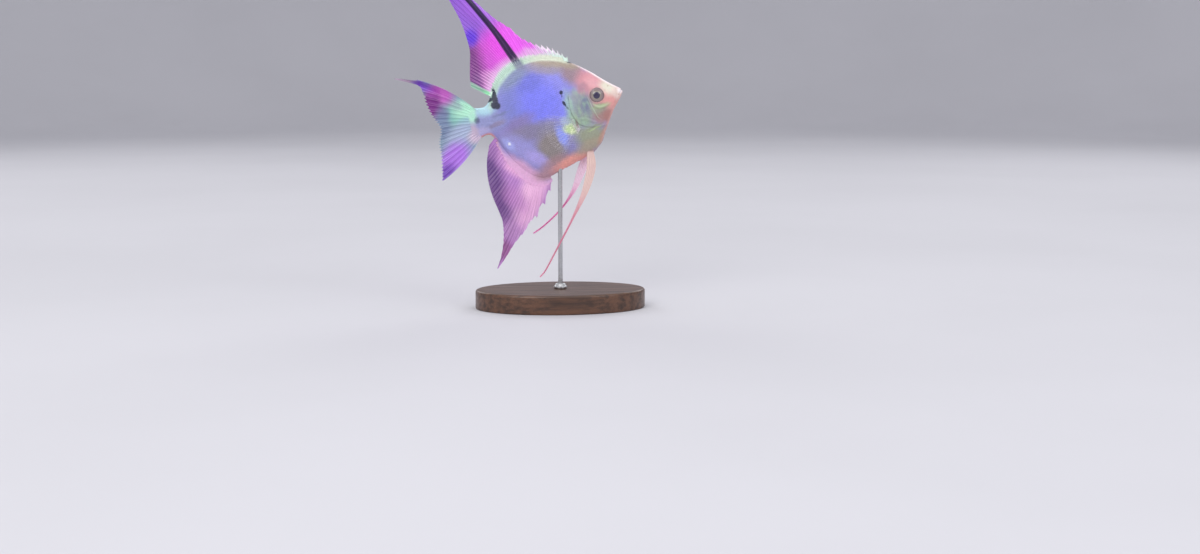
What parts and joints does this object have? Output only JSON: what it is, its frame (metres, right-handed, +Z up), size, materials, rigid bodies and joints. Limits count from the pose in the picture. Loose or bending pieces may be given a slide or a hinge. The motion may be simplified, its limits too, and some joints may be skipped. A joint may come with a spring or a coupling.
{
  "type": "freshwater angelfish on a display stand",
  "caption": "Life-size still model of a freshwater angelfish with swept fins and long feelers, held over an oval base by a thin rod.",
  "frame": {"origin": "centre of the underside of the stand's base", "axes": "+Z up; the fish looks along +X with its head a little raised; +Y is the fish's left side"},
  "size_m": [0.1426, 0.06, 0.1915],
  "materials": {
    "head_skin": "wet satin skin",
    "body_skin": "wet skin under pearly scales",
    "gill_skin": "wet pearly skin",
    "eye": "polished",
    "back_fin": "thin rayed fin skin",
    "violet_fin": "thin rayed fin skin",
    "feeler": "smooth fin skin",
    "clear_fin": "clear thin fin skin",
    "stand_wood": "satin varnish",
    "stand_metal": "fine brushed"
  },
  "bodies": {
    "root": {"head": "head_skin", "trunk": "body_skin", "tail_stalk": "body_skin", "upper_jaw": "head_skin", "lower_jaw": "head_skin", "gill_cover_right": "gill_skin", "gill_cover_left": "gill_skin", "eye_right": "eye", "eye_left": "eye", "dorsal_fin": "back_fin", "anal_fin": "violet_fin", "caudal_fin": "violet_fin", "ventral_fin_right": "feeler", "ventral_fin_left": "feeler", "pectoral_fin_right": "clear_fin", "pectoral_fin_left": "clear_fin", "stand_base": "stand_wood", "stand_rod": "stand_metal", "stand_collar": "stand_metal"}
  },
  "joints": []
}
